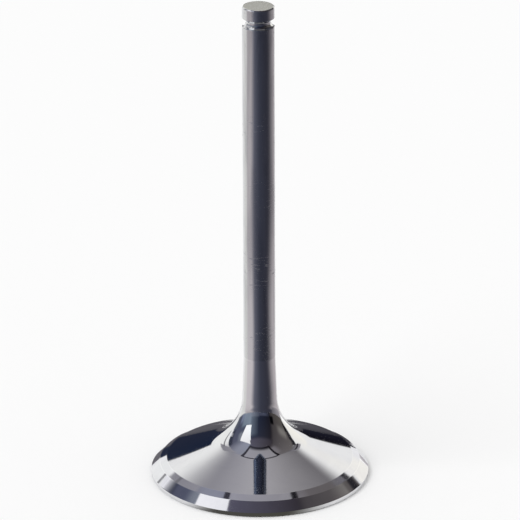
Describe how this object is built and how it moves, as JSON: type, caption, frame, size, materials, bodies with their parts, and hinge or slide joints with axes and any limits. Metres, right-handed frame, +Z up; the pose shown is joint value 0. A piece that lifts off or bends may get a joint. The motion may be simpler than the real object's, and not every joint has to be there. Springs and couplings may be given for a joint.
{
  "type": "engine valve",
  "caption": "Engine intake valve: slim polished stem with a half-round keeper groove, flared neck and wide tulip head with back-cut, 45-degree seat and flat combustion face.",
  "frame": {"origin": "middle of the flat combustion face, which is the lowest face, on the stem's axis", "axes": "+Z up the stem from the combustion face to the tip; the valve is a solid of revolution, so X and Y are any two directions across it"},
  "size_m": [0.055, 0.055, 0.1243],
  "materials": {
    "polished_steel": "mirror-polished valve steel with fine turning marks, duller on the ground tip face"
  },
  "bodies": {
    "root": {"valve": "polished_steel"}
  },
  "joints": []
}
